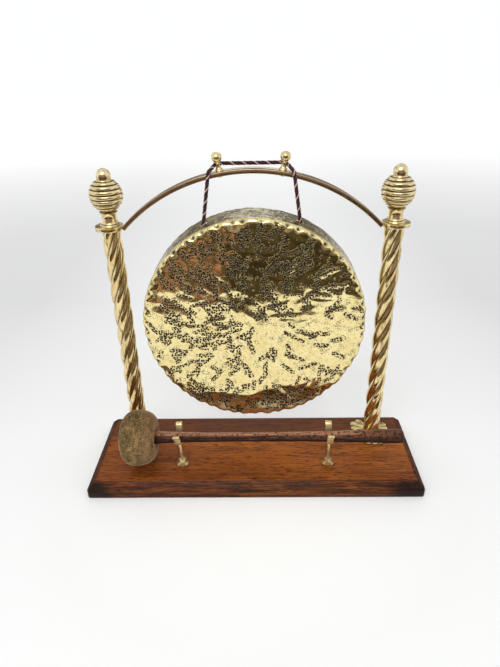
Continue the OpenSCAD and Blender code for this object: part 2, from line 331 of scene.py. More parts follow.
def with_alpha(colour):
    return (colour,) * 3 + (1,) if isinstance(colour, (int, float)) else (*colour, 1)


class Paint:
    """A procedural material: the shader and short calls that add nodes to it."""

    def __init__(self, name, **sockets):
        self.material = bpy.data.materials.new(name)
        self.material.use_nodes = True
        self.tree = self.material.node_tree
        self.place = self.node("TexCoord", "Object")
        self.done(**sockets)

    def done(self, **sockets):
        """Sets sockets of the shader, whose names have underscores for spaces here."""
        for name, value in sockets.items():
            self.fill(self.tree.nodes["Principled BSDF"].inputs[name.replace("_", " ")], value)
        return self.material

    def fill(self, socket, value):
        if isinstance(value, Value):
            self.tree.links.new(value.socket, socket)
        else:
            socket.default_value = with_alpha(value) if socket.type == "RGBA" else value

    def node(self, kind, output, inputs=None, **settings):
        added = self.tree.nodes.new("ShaderNode" + kind)
        for key, value in settings.items():
            setattr(added, key, value)
        for key, value in (inputs or {}).items():
            self.fill(added.inputs[key], value)
        return Value(self, added.outputs[output])

    def axes(self):
        """The place on the object as three values."""
        split = self.node("SeparateXYZ", 0, {"Vector": self.place}).socket.node
        return [Value(self, output) for output in split.outputs]

    def attribute(self, name):
        return self.node("Attribute", "Fac", attribute_name=name)

    def stretched(self, *scale):
        return self.node("Mapping", 0, {"Vector": self.place, "Scale": scale})

    def noise(self, scale, detail=3, roughness=0.5, distortion=0, stretch=None):
        inputs = {"Vector": self.stretched(*stretch) if stretch else self.place, "Scale": scale}
        inputs |= {"Detail": detail, "Roughness": roughness, "Distortion": distortion}
        return self.node("TexNoise", "Fac", inputs)

    def dots(self, place, scale, randomness=1.0, dimensions="2D"):
        inputs = {"Vector": place, "Scale": scale, "Randomness": randomness}
        return self.node("TexVoronoi", "Distance", inputs, voronoi_dimensions=dimensions)

    def mix(self, share, a, b):
        return self.node("Mix", 2, {0: share, 6: a, 7: b}, data_type="RGBA")

    def layers(self, colour, *stains):
        """Stains over a colour: (share, colour) pairs, each over the ones before it."""
        for share, stain in stains:
            colour = self.mix(share, colour, stain)
        return colour

    def math(self, how, a, b):
        return self.node("Math", 0, {0: a, 1: b}, operation=how)

    def bump(self, height, depth_mm, after=None):
        inputs = {"Height": height, "Distance": depth_mm * MM}
        return self.node("Bump", 0, inputs | ({"Normal": after} if after else {}))


def brass(name, bright, deep, tarnish_and_shade, roughness, dent_mm, grime, drawn=(1, 1, 1), metallic=1.0):
    """Polished brass: lively colour, dark where grime has gathered and where a piece's grime values carry
    painted shade, fine streaks the way it was worked (drawn is how the streaks stretch along X, Y and Z) and
    a little unevenness."""
    paint = Paint(name, Metallic=metallic)
    cloud = paint.noise(90, 4, 0.6)
    colour = paint.mix(cloud.spread(0, 1, 0.35, 0.65), bright, deep)
    streak = paint.noise(520, 3, 0.65, 0.3, stretch=drawn)
    speck = paint.noise(700, 2, 0.6).ramp((0.62, 0), (0.74, 1))
    settled_dirt_and_shade = paint.attribute("grime") * cloud.spread(0.75, 1.0, 0.35, 0.6)
    dirt_and_shade = settled_dirt_and_shade.or_more(speck * (0.35 * grime)).or_more(streak.spread(0, 0.8 * grime, 0.52, 0.68))
    smooth = paint.noise(260, 3, 0.6).spread(roughness * 0.7, roughness * 1.5, 0.3, 0.7)
    fine = paint.bump(streak, dent_mm * 0.3)
    return paint.done(Base_Color=paint.mix(dirt_and_shade, colour, tarnish_and_shade), Roughness=smooth + dirt_and_shade * 0.25,
                      Normal=paint.bump(paint.noise(120, 2, 0.5), dent_mm, after=fine))


def gong_face_brass():
    """The beaten face: mirror brass, with trails of small dark punch marks where the hammer strokes lie,
    painted shade inside the dimples round its edge, and duller below its fold."""
    paint = Paint("gong_face_brass", Metallic=1.0)
    x, _, z = paint.axes()
    facing = paint.node("CombineXYZ", 0, {"X": x, "Y": z})
    patchy = paint.noise(95, 3, 0.7).spread(-0.35, 0.35, 0.25, 0.75)
    in_stroke = (paint.attribute("stroke") + patchy).ramp((0.37, 0), (0.52, 1))
    scattered = paint.noise(170, 2, 0.5).ramp((0.54, 0), (0.64, 1))
    big = paint.dots(facing, 455, 0.82).ramp((0.37, 1), (0.46, 0)) * in_stroke
    small = paint.dots(facing, 640).ramp((0.22, 1), (0.38, 0)) * scattered * 0.7
    # the dark punch marks, and the painted shade inside the dimples round the edge
    marks_and_dent_shade = big.or_more(small).or_more(paint.attribute("crimp_shade"))
    cracks = abs(paint.noise(210, 3, 0.6) - 0.5).ramp((0.004, 1), (0.02, 0)) * 0.45
    cloud = paint.noise(60, 4, 0.6)
    metal = paint.mix(cloud.spread(0, 1, 0.35, 0.65), (0.96, 0.83, 0.43), (0.9, 0.74, 0.34))
    dulled = z.spread(1, 0, 0.076, 0.09)
    colour = paint.layers(metal, (dulled * 0.55, (0.84, 0.88, 0.52)), (in_stroke * 0.18, (0.34, 0.25, 0.12)),
                          (cracks, (0.22, 0.12, 0.04)), (marks_and_dent_shade, (0.02, 0.019, 0.03)))
    smooth = cloud.spread(0.04, 0.11, 0.3, 0.7) + dulled * 0.14
    ripple = paint.bump(paint.noise(140, 2, 0.5), 0.05)
    return paint.done(Base_Color=colour, Roughness=paint.mix(marks_and_dent_shade, smooth, 0.45),
                      Normal=paint.bump(paint.math("SUBTRACT", 1.0, marks_and_dent_shade), 0.1, after=ripple))


def gong_rim_brass():
    """The rim: greyer, less polished, beaten in short marks and streaked round the gong."""
    paint = Paint("gong_rim_brass", Metallic=1.0)
    patch = paint.noise(120, 5, 0.7)
    metal = patch.ramp((0.34, (0.09, 0.07, 0.04)), (0.47, (0.38, 0.33, 0.2)), (0.6, (0.74, 0.66, 0.43)))
    streak = paint.noise(190, 3, 0.7, 0.5, stretch=(0.35, 2.8, 0.35))
    spots = paint.noise(430, 2, 0.6).ramp((0.58, 0), (0.66, 1))
    colour = paint.layers(metal, (streak.ramp((0.5, 0), (0.57, 0.85)), (0.06, 0.042, 0.022)),
                          (spots * 0.75, (0.9, 0.76, 0.36)))
    blows = paint.dots(paint.stretched(1, 1.4, 1), 300, dimensions="3D")
    return paint.done(Base_Color=colour, Roughness=patch.spread(0.32, 0.14, 0.3, 0.7),
                      Normal=paint.bump(blows, 0.45, after=paint.bump(streak, 0.12)))


def base_wood():
    """Reddish-brown hardwood under thin, worn varnish, its grain along X, blackened at its ends."""
    paint = Paint("base_wood", Coat_Weight=0.05, Coat_Roughness=0.25, Coat_IOR=1.5, Specular_IOR_Level=0.1)
    x, y, z = paint.axes()
    broad = paint.noise(1.6, 4, 0.6, 1.2, stretch=(5, 30, 42))
    figure = paint.noise(2.2, 5, 0.72, 0.5, stretch=(7, 190, 220))
    line = broad * 0.45 + figure * 0.55
    wood = line.ramp((0.32, (0.105, 0.026, 0.006)), (0.44, (0.195, 0.05, 0.009)),
                     (0.54, (0.275, 0.074, 0.012)), (0.68, (0.39, 0.13, 0.024)))
    # painted light: a brighter, more orange pool on the board under the front of the gong, for light thrown
    # down from the gong's face
    painted_light_pool = y.spread(0, 1, -0.045, 0.006) * y.spread(1, 0, 0.01, 0.022) * x.spread(0.35, 1, -0.12, -0.06)
    streaks = paint.noise(16, 3, 0.6, 0.4, stretch=(2.6, 60, 60)).ramp((0.38, 1), (0.46, 0))
    long_streaks = paint.noise(16, 3, 0.7, 0.3, stretch=(1.8, 44, 44)).ramp((0.44, 1), (0.5, 0))
    pores = paint.noise(60, 2, 0.5, stretch=(2.0, 18, 18)).ramp((0.36, 1), (0.42, 0))
    # Old polish and dirt: on the bevels, most at the ends, and along the top's edge
    low = z.spread(1, 0, 0.015, 0.0168)
    past_end = abs(x).spread(0, 1, 0.16, 0.1625) * (abs(x) - abs(y)).spread(0, 1, 0.112, 0.113)
    aged = abs(x + 0.005).spread(0, 1, 0.116, 0.154) * low.spread(0.3, 1.0) * past_end.spread(1.0, 0.35)
    smudge = aged * 1.1 + broad.spread(-0.35, 0.35, 0.3, 0.7)
    band = low * paint.noise(1.3, 3, 0.6, 1.0, stretch=(7, 60, 90)).ramp((0.44, 1), (0.58, 0))
    brink = z.spread(0, 0.6, 0.0155, 0.0162) * z.spread(1, 0, 0.0165, 0.0169)
    dark = smudge.spread(0, 0.95, 0.35, 1.0).or_more(band * 0.62).or_more(brink)
    rings = paint.noise(34, 4, 0.7, 0.4, stretch=(1, 2.2, 9))
    end_grain = rings.ramp((0.36, (0.022, 0.008, 0.004)), (0.52, (0.06, 0.019, 0.008)),
                           (0.66, (0.105, 0.036, 0.014)))
    colour = paint.layers(
        wood, (painted_light_pool * line.spread(0.3, 0.78, 0.35, 0.6), (0.6, 0.178, 0.026)),
        (streaks * 0.52, (0.036, 0.011, 0.005)), (long_streaks * low * 0.72, (0.022, 0.008, 0.004)),
        # painted shade: on the next line the board behind the gong is darkened, for the gong's shadow
        (pores * 0.85, (0.022, 0.008, 0.005)), (y.spread(0, 0.5, 0.008, 0.024), (0.06, 0.03, 0.018)),
        (low * 0.22, (0.03, 0.012, 0.006)), (dark, (0.012, 0.006, 0.004)), (past_end * 0.9, end_grain))
    return paint.done(Base_Color=colour, Roughness=line.spread(0.4, 0.28, 0.3, 0.7).or_more(past_end),
                      Normal=paint.bump(figure * 0.4 - pores, 0.05))


def handle_wood():
    """Dark reddish-brown turned wood, with a painted highlight along its top and painted shade that makes its
    underside nearly black.
    """
    paint = Paint("handle_wood", Coat_Weight=0.06, Coat_Roughness=0.15, Specular_IOR_Level=0.12,
                  Specular_Tint=(1.0, 0.78, 0.7))
    x, y, z = paint.axes()
    up, out = z - MALLET_Z * MM, y + MALLET_Y * MM
    facing_up = up / (up * up + out * out) ** 0.5
    figure = paint.noise(4, 4, 0.65, 0.4, stretch=(16, 130, 130))
    wood = figure.ramp((0.34, (0.016, 0.005, 0.003)), (0.5, (0.062, 0.022, 0.011)),
                       (0.66, (0.15, 0.062, 0.034)))
    mottle = paint.noise(330, 4, 0.7)
    # painted highlight: a wider, more orange band along the top towards the butt, broken up by the mottle
    flank = x.spread(0, 1, 0.03, 0.08) * facing_up.spread(0, 1, 0.25, 0.8)
    flank = flank * mottle.spread(0, 0.9, 0.42, 0.56)
    # painted highlight: a pale pinkish band along the top
    painted_top_highlight = facing_up.spread(0, 1, 0.76, 0.92) * figure.spread(0.45, 1.0, 0.38, 0.52)
    painted_top_highlight = painted_top_highlight * x.spread(1, 0.15, 0.095, 0.13)
    # painted shade: the underside darkened nearly to black
    painted_underside_shade = facing_up.spread(0.92, 0, -0.45, 0.45)
    butt = x.spread(0, 0.85, 0.09, 0.15) * mottle.spread(1, 0.4, 0.4, 0.62)
    chips = paint.noise(430, 3, 0.7, stretch=(0.7, 1, 1)).ramp((0.545, 0), (0.6, 0.9))
    colour = paint.layers(wood, (flank, (0.23, 0.088, 0.038)), (painted_top_highlight, (0.45, 0.215, 0.125)),
                          (painted_underside_shade, (0.01, 0.004, 0.003)), (butt, (0.03, 0.014, 0.009)),
                          (chips, (0.018, 0.008, 0.006)))
    rough = mottle.spread(0.3, 0.44, 0.3, 0.7) + facing_up.spread(0.35, 0, -0.2, 0.7)
    return paint.done(Base_Color=colour, Roughness=rough,
                      Normal=paint.bump(paint.noise(420, 3, 0.6, stretch=(0.25, 1, 1)), 0.16))


def suede():
    """Olive-brown suede with a short nap, and a painted sheen that makes it lighter and warmer on the
    handle's side.
    """
    paint = Paint("suede", Roughness=0.95, Sheen_Weight=0.45, Sheen_Roughness=0.3,
                  Sheen_Tint=(0.9, 0.68, 0.42), Specular_IOR_Level=0.1)
    patch, nap = paint.noise(95, 5, 0.7), paint.noise(720, 4, 0.8)
    hide = patch.ramp((0.34, (0.052, 0.032, 0.011)), (0.48, (0.165, 0.1, 0.036)),
                      (0.62, (0.345, 0.21, 0.081)))
    ribs = paint.noise(600, 2, 0.6, stretch=(1, 0.12, 0.12)).spread(0, 0.55, 0.46, 0.62)
    # painted sheen: lighter and warmer towards the handle's side
    handle_side_sheen = paint.axes()[0].spread(0, 1, -0.118, -0.103) * patch.spread(0.35, 1, 0.35, 0.6)
    hairs = paint.noise(1100, 2, 0.6).ramp((0.58, 0), (0.66, 1))
    colour = paint.layers(hide, (ribs, (0.07, 0.044, 0.018)), (handle_side_sheen * 0.7, (0.35, 0.19, 0.1)),
                          (nap.spread(0, 0.9, 0.45, 0.62), (0.045, 0.03, 0.011)),
                          (hairs * 0.5, (0.5, 0.37, 0.2)))
    return paint.done(Base_Color=colour, Normal=paint.bump(nap, 0.28, after=paint.bump(patch, 0.5)))


def cord_fibre():
    """Twisted cord: a black strand, a maroon one and a thin pale one."""
    paint = Paint("cord_fibre", Roughness=0.85, Sheen_Weight=0.2, Specular_IOR_Level=0.2)
    strand = paint.attribute("strand").ramp((0.22, (0.065, 0.01, 0.014)), (0.4, (0.01, 0.008, 0.011)),
                                            (0.68, (0.014, 0.009, 0.011)), (0.77, (0.56, 0.34, 0.28)))
    fibre = paint.noise(3500, 2, 0.6)
    return paint.done(Base_Color=paint.mix(fibre.spread(0, 0.5, 0.5, 0.8), strand, (0.01, 0.006, 0.007)),
                      Normal=paint.bump(fibre, 0.12))


def steel():
    paint = Paint("plated_steel", Metallic=1.0)
    stain = paint.noise(300, 4, 0.6)
    return paint.done(Base_Color=stain.ramp((0.35, (0.24, 0.22, 0.19)), (0.65, (0.52, 0.51, 0.49))),
                      Roughness=stain.spread(0.5, 0.28, 0.3, 0.7),
                      Normal=paint.bump(paint.noise(1400, 2, 0.5, stretch=(1, 1, 0.2)), 0.02))


POLISHED = brass("polished_brass", (0.94, 0.77, 0.42), (0.76, 0.57, 0.26), (0.07, 0.038, 0.015),
                 roughness=0.11, dent_mm=0.04, grime=0.95, drawn=(1, 1, 0.1))
STRIP_BRASS = brass("strip_brass", (0.6, 0.44, 0.28), (0.48, 0.35, 0.22), (0.08, 0.05, 0.025),
                    roughness=0.17, dent_mm=0.015, grime=0.35, drawn=(0.15, 1, 0.3))
TURNED = brass("turned_brass", (0.92, 0.77, 0.45), (0.74, 0.58, 0.29), (0.045, 0.03, 0.015),
               roughness=0.14, dent_mm=0.03, grime=0.7, drawn=(0.5, 0.5, 2.0))
LACQUERED = brass("lacquered_brass", (0.92, 0.76, 0.42), (0.78, 0.6, 0.3), (0.045, 0.03, 0.015),
                  roughness=0.2, dent_mm=0.03, grime=0.45, metallic=0.72)
AGED = brass("aged_brass", (0.88, 0.7, 0.37), (0.64, 0.47, 0.21), (0.03, 0.022, 0.012),
             roughness=0.24, dent_mm=0.05, grime=0.75)
CAST = brass("cast_brass", (0.84, 0.68, 0.34), (0.66, 0.5, 0.22), (0.05, 0.034, 0.016),
             roughness=0.22, dent_mm=0.1, grime=0.9)
GONG_FACE = gong_face_brass()
GONG_RIM = gong_rim_brass()
BASE_WOOD = base_wood()
HANDLE_WOOD = handle_wood()
SUEDE = suede()
CORD_FIBRE = cord_fibre()
STEEL = steel()


# ---- cord and knots

# Right half of the cord over the arch, from the strip's front face to the middle
CORD_HALF = [
    (38.1, 19.1, 298.4), (37.9, 19.1, 300), (37.6, 19.1, 301.8), (37.4, 19.2, 303.5), (36.8, 20.2, 304.9),
    (35.6, 22.2, 306), (34, 25, 307.4), (32.4, 28.3, 308.8), (30.6, 30.6, 309.8), (27.5, 31.4, 310.2),
    (22, 31.2, 310.2), (14, 31, 310.2), (7, 31, 310.2), (0, 31, 310.2),
]
PIVOT = (38.2, CORD_Y, 297.5)
CORD_PITCH = 10.5
STRANDS = [(0, 0.62, 0.96), (math.pi, 0.62, 0.96), (math.pi / 2, 0.84, 0.68), (-math.pi / 2, 0.86, 0.66)]


def cord_route():
    foot = np.array([KNOT_X, CORD_Y, KNOT_Z + 1])
    leg = [foot + (np.array(PIVOT) - foot) * t for t in np.linspace(0, 0.97, 9)]
    half = np.vstack([leg, spline(CORD_HALF, 5)])
    other = half[:-1][::-1] * np.array([-1, 1, 1])
    return even_path(np.vstack([half, other]), 0.6)[::-1]


def twisted_cord(path, radius, sides=24):
    """A strand-laid cord along a path, and how pale or red each of its points is."""
    around = all_round(sides)
    section = lobed_radius(around, STRANDS + [(m - 2 * math.pi, d, r) for m, d, r in STRANDS])
    section *= radius / section.max()
    spin = lengths_along(path) / CORD_PITCH * 2 * np.pi
    shell = sweep(path, polar(section, around), spin)
    pale = np.exp(-((around - math.pi / 2) / 0.6) ** 2)
    red = np.exp(-((around - 3 * math.pi / 2) / 0.8) ** 2)
    return shell, np.tile(0.5 + 0.5 * pale - 0.5 * red, len(path))


def knot_path(side):
    """An overhand knot in the gong's rim, with its short end hanging."""
    t = np.linspace(0, 2 * np.pi, 73)[:-6]
    loop = 0.66 * np.column_stack([np.sin(t) + 2 * np.sin(2 * t), -1.1 * np.sin(3 * t),
                                   np.cos(t) - 2 * np.cos(2 * t)])
    middle = np.array([side * KNOT_X, CORD_Y, KNOT_Z])
    tail = middle + [[0.2, -0.4, -2.6], [0.1, 0, -4.6], [-0.2, 0.2, -6.8]]
    return even_path(spline(np.vstack([middle + loop[::6], tail]), 6), 0.5)


def make_cord():
    path = cord_route()
    (points, faces), strand = twisted_cord(path, CORD_D / 2 * 1.12)
    piece = mesh_piece("hanging_cord", points, faces, CORD_FIBRE, None,
                       ("cord_top", "cord_leg_left", "cord_leg_right"))
    set_values(piece, "strand", strand)
    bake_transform(piece)
    for side, s in SIDES.items():
        (points, faces), strand = twisted_cord(knot_path(s), 1.15, 14)
        knot = mesh_piece(f"cord_knot_{side}_tied", points, faces, CORD_FIBRE, "hanger")
        set_values(knot, "strand", strand)


make_cord()


# ---- stand

def make_base():
    """The board: an upright lip, a wide bevel with mitred corners and softly worn edges."""
    outline = [(0, 0.6, 2.6), (0, 0.15, 3), (0.4, 0, 3), (8.4, 0, 3), (8.8, 0.12, 3), (9.1, 0.35, 3),
               (16.55, 6.7, 2.2), (16.85, 7.0, 2), (17, 7.5, 1.8), (17, 12, 1.6)]
    rows = []
    for z, inset, radius in outline:
        ring = rounded_box_outline(BASE_LEN - 2 * inset, BASE_DEPTH - 2 * inset, radius, 5)
        rows.append(np.column_stack([ring, np.full(len(ring), z)]))
    points, faces = stacked(rows)
    piece = mesh_piece("base_board_wood", points, faces, BASE_WOOD, "stand", sharp=50)
    cutters = []
    for s in SIDES.values():
        for radius, low, high in (COUNTERBORE, STUD_HOLE):
            points, cutter_faces = lathe([(0, low), (radius, low), (radius, high), (0, high)], 48)
            cutters.append((moved(points, s * COL_X, COL_Y), cutter_faces))
    cut_away(piece, cutters)


def make_rosette(side, s):
    """Three ivy leaves: lobes swell, and the hollows between them run in to the column's foot."""
    heart = [(9.4, 6.6, 2.6), (9.4, -6.6, 2.6), (12, 0, 5.8)]
    leaf = [(19.8, 0, 4.9), (17.2, 6.2, 4.3), (17.2, -6.2, 4.3)] + heart
    broad_leaf = [(21, 0, 4.7), (20, 6.6, 4.8), (20, -6.6, 4.8)] + heart
    lobes = [(0, 0, 10.5)]
    for a, shape, scale in ((-90, broad_leaf, 1), (30, leaf, 0.88), (150, leaf, 1)):
        for x, y, r in shape:
            lobes.append((math.radians(a) + math.atan2(y, x), math.hypot(x, y) * scale, r * scale))
    lobes += [(m + turn, d, r) for m, d, r in lobes for turn in (-2 * math.pi, 2 * math.pi)]
    n = 360
    around = all_round(n)
    edge = lobed_radius(around, lobes)
    crest = (edge - edge.min()) / (edge.max() - edge.min())
    valley = np.clip(2 * edge - np.roll(edge, 5) - np.roll(edge, -5), None, 0)
    valley = np.clip(-valley / 1.2, 0, 1)
    valley = np.convolve(np.tile(valley, 3), np.hanning(9) / np.hanning(9).sum(), "same")[n:2 * n]
    rows, settled_dirt_and_shade = [], []
    for f in np.concatenate([np.linspace(0.12, 0.9, 20), [0.94, 0.97, 0.99, 1.0]]):
        swell = 1.0 + 0.85 * crest * math.sin(math.pi * min(1, f * 1.1)) ** 0.6
        crease = valley * min(1, f * 1.6)
        z = (1.6 * swell - 0.9 * crease) * (1 - f ** 14) ** 0.5 + 0.25
        rows.append(np.column_stack([polar(f * edge, around), z]))
        # grime in the creases between lobes, and painted shadow along the leaves' outer edge, where they meet
        # the board
        settled_dirt_and_shade.append(np.clip(0.8 * crease + (f > 0.985), 0, 1))
    rows.append(np.column_stack([polar(edge, around), np.zeros(n)]))
    # painted shadow: the edge's foot on the board
    settled_dirt_and_shade.append(np.ones(n))
    points, faces = stacked(rows)
    points = moved(points, s * COL_X, COL_Y, BASE_THICK)
    piece = mesh_piece(f"rosette_{side}_leaves", points, flipped(faces), CAST, "stand")
    set_values(piece, "grime", np.concatenate(settled_dirt_and_shade))


def make_column(side, s):
    """Four strands laid as a rope."""
    strand_r = ROPE_R * 0.52
    lobes = [(k * math.pi / 2, ROPE_R - strand_r, strand_r) for k in range(-1, 5)]
    around = all_round(96)
    edge = lobed_radius(around, lobes)
    rows = []
    for z in np.linspace(COL_BASE, COL_TOP, 150):
        twist = (z - COL_BASE) / ROPE_LEAD * 2 * math.pi
        rows.append(np.column_stack([polar(edge, around + twist), np.full(len(edge), z)]))
    points, faces = stacked(rows)
    points = moved(points, s * COL_X, COL_Y)
    piece = mesh_piece(f"column_{side}_rope", points, faces, POLISHED, "stand")
    set_values(piece, "grime", np.tile(np.exp(-((edge - edge.min()) / 0.6) ** 2), len(rows)))


NECK_Z, BALL_Z, FINIAL_H = 13.2, 27.5, 41.4


def finial_outline():
    """A waisted foot, then a ball of nine ribs, with the bore for the tie stud."""
    foot = spline([(9.1, 0.9), (8.7, 1.8), (8.1, 2.2), (7.5, 3.3), (6.9, 5.2), (6.55, 7.4),
                   (6.65, 9.6), (7.3, 11.4), (8.3, 12.7)], 4)
    ball, ring, rib, step = 13.6, 13.3, 2.12, 17
    angles = np.radians(np.arange(-66, 76, 0.85))
    ribs = [(math.radians((i - 4) * step), ring, rib) for i in range(9)]
    reach = np.maximum(lobed_radius(angles, ribs), ball)
    body = polar(reach, angles) + [0, BALL_Z]
    body = body[(body[:, 1] > NECK_Z) & (body[:, 1] < FINIAL_H - 0.1)]
    return [(BORE_R, 0), (8.7, 0), *foot, *body, (body[-1][0] - 0.3, FINIAL_H), (BORE_R, FINIAL_H)]


def make_finial(side, s):
    points, faces = lathe(finial_outline(), 96)
    radius, height = np.hypot(points[:, 0], points[:, 1]), points[:, 2]
    from_middle = np.hypot(radius, height - BALL_Z)
    groove = np.clip((14.95 - from_middle) / 0.4, 0, 1) * (height > NECK_Z + 0.3)
    seams = sum(np.exp(-((height - z) / width) ** 2) for z, width in ((NECK_Z, 0.5), (2.1, 0.4)))
    points = moved(points, s * COL_X, COL_Y, COL_TOP + STRIP_T)
    piece = mesh_piece(f"finial_{side}_turned", points, faces, TURNED, "stand")
    set_values(piece, "grime", np.maximum(groove, seams))
    dome = [(0, 0), (6.1, 0), (6.35, 0.25), (6.4, 0.6), (6.4, 3.2), *arc(0, 3.2, 6.4, 5, 85, 14), (0, 9.6)]
    points, faces = lathe(dome, 64)
    points = moved(points, s * COL_X, COL_Y, COL_TOP + STRIP_T + FINIAL_H)
    mesh_piece(f"finial_cap_{side}_domed", points, faces, TURNED, "stand")


def make_arch():
    """The flat strip bent to an arch, running into an eyelet plate at each end."""
    section = rounded_box_outline(STRIP_T, STRIP_W, 0.6)
    end = math.degrees(math.asin((EYELET_X - EYELET_R - 0.8) / ARCH_R))
    bend = arc(0, ARCH_Z, ARCH_R, 90 + end, 90 - end, 120)
    path = np.column_stack([bend[:, 0], np.full(len(bend), COL_Y), bend[:, 1]])
    strip = sweep(path, section)
    shells = [strip]
    plate = [(BORE_R, 0), (EYELET_R - 0.6, 0), (EYELET_R - 0.15, 0.2), (EYELET_R, 0.7), (EYELET_R, 3.3),
             (EYELET_R - 0.2, 3.8), (EYELET_R - 0.7, STRIP_T), (BORE_R, STRIP_T)]
    for s in SIDES.values():
        points, faces = lathe(plate, 72)
        shells.append((moved(points, s * EYELET_X, COL_Y, COL_TOP), faces))
    points, faces = joined(*shells)
    mesh_piece("arch_bar_strip", points, faces, [STRIP_BRASS, TURNED], "stand",
               face_slots=np.arange(len(faces)) >= len(strip[1]))


def on_strip(points, s):
    """From a frame whose Z stands on the strip's back to the shared frame, at a cord peg."""
    return moved(turned(moved(points, z=ARCH_R + STRIP_T / 2), s * PEG_ANGLE, "Y"), 0, COL_Y, ARCH_Z)


def make_peg(side, s):
    neck = spline([(3.9, 0.5), (3.6, 1.3), (2.9, 1.9), (2.35, 3), (2.1, 4.6), (2.2, 6.2), (2.75, 7.5)], 4)
    ball = arc(0, 11.6, 4.6, -58, 86, 22)
    points, faces = lathe([(0, 0), (3.7, 0), *neck, *ball, (0, 16.2)], 48)
    rivet, rivet_faces = lathe([(0, -5.1), (2.2, -5.1), (2.6, -4.7), (2.6, -4.1), (1.6, -4.0), (0, -4.0)], 32)
    points, faces = joined((points, faces), (rivet, rivet_faces))
    mesh_piece(f"cord_peg_{side}_turned", on_strip(points, s), faces, TURNED, "stand")


make_base()
make_arch()
for side, s in SIDES.items():
    make_rosette(side, s)
    make_column(side, s)
    make_finial(side, s)
    make_peg(side, s)


# ---- gong

GONG_R, GONG_DEPTH, FACE_T, RIM_T, BEAD_R, EDGE_R = 107.7, 38, 0.8, 2.4, 3.2, 4
GONG_LEAN, GONG_SHIFT, HOLE_DEPTH, GONG_DROP = 1.6, 1, 18.4, 90.9
HOLE_R, STRUCK_R, GONG_SEGMENTS = 3.1, 101, 470
STROKE_COUNT, LOW_STROKE_COUNT, RIDGE_COUNT, CRIMP_COUNT = 285, 52, 13, 54


def gong_strokes():
    """Hammer strokes on the face: where each lies, its direction, half length, half width and depth.
    They crowd at the upper left and along the bottom. Ridges, at the upper right, have depths below 0."""
    rng = np.random.default_rng(11)
    strokes = []
    while len(strokes) < STROKE_COUNT:
        x, z = rng.uniform(-STRUCK_R, STRUCK_R, 2)
        radius = math.hypot(x, z)
        crowd = 0.9 if z < -68 else 0.66 + 0.34 * math.tanh((z - x) / 60)
        if radius > STRUCK_R or rng.uniform() > crowd:
            continue
        direction = math.atan2(z, x) + rng.normal(0, 0.6 if radius > 30 else 1.5)
        strokes.append((x, z, direction, *rng.uniform((4.5, 1.9, 0.05), (11, 3.0, 0.16))))
    for _ in range(LOW_STROKE_COUNT):
        angle, radius = rng.uniform((-2.6, 84), (-0.55, STRUCK_R))
        direction = angle + math.pi / 2 + rng.normal(0, 0.5)
        strokes.append((radius * math.cos(angle), radius * math.sin(angle), direction,
                        *rng.uniform((3.5, 1.6, 0.05), (8, 2.6, 0.16))))
    for _ in range(RIDGE_COUNT):
        strokes.append((rng.uniform(8, 84), rng.uniform(10, 64), rng.normal(0.12, 0.35),
                        rng.uniform(7, 13), rng.uniform(1.5, 2.1), -rng.uniform(0.35, 0.6)))
    return strokes


def gong_crimps():
    """Dents round the face's edge: the angle, size and depth of each."""
    rng = np.random.default_rng(21)
    crimps = []
    for k in range(CRIMP_COUNT):
        off, size, depth = rng.uniform((-0.3, 1.8, 0.9), (0.3, 3.3, 2.0))
        crimps.append((2 * math.pi * (k + off) / CRIMP_COUNT, size, depth))
    return crimps


STROKES = gong_strokes()
CRIMPS = gong_crimps()


def at_crimp(points, angle, inset, depth):
    """Distance of points from a dent's middle, which lies on the rounded edge."""
    radius = GONG_R - inset
    middle = np.array([math.cos(angle) * radius, depth, math.sin(angle) * radius])
    return np.linalg.norm(points - middle, axis=1)


def crown(x, z):
    """How far the face stands out: a low dome, and a sharp fold near the bottom that slopes to the edge."""
    reach = GONG_R - EDGE_R
    dome = 2.4 * np.clip(1 - (x ** 2 + z ** 2) / reach ** 2, 0, 1)
    line = -76 + 0.3 * np.clip(x, 0, 60) + 1.6 * np.sin(x / 9) + 0.8 * np.sin(x / 4.3)
    edge = -np.sqrt(np.clip(reach ** 2 - x ** 2, 0, None))
    band = np.clip(line - edge, 0, None)
    peak = 2.9 * np.minimum(band / 28, 1)
    lift = peak - 2.4 * np.clip(1 - (x ** 2 + line ** 2) / reach ** 2, 0, 1)
    above = dome + lift * np.exp(-((z - line) / 34) ** 2)
    below = peak * (1 - np.clip((line - z) / np.maximum(band, 1), 0, 1)) ** 1.6
    return np.where(z > line, above, below)


def stroke_field(x, z):
    """How much a place on the face lies in a hammer stroke (0 to 1), and how deep the strokes press it."""
    share, depth = np.zeros_like(x), np.zeros_like(x)
    for cx, cz, direction, half_length, half_width, press in STROKES:
        dx, dz = x - cx, z - cz
        along = (dx * math.cos(direction) + dz * math.sin(direction)) / half_length
        across = (dz * math.cos(direction) - dx * math.sin(direction)) / half_width
        share = np.maximum(share, np.exp(-(along ** 4) - across ** 4))
        depth += press * np.exp(-(along ** 4) - across ** 2)
    return share, depth


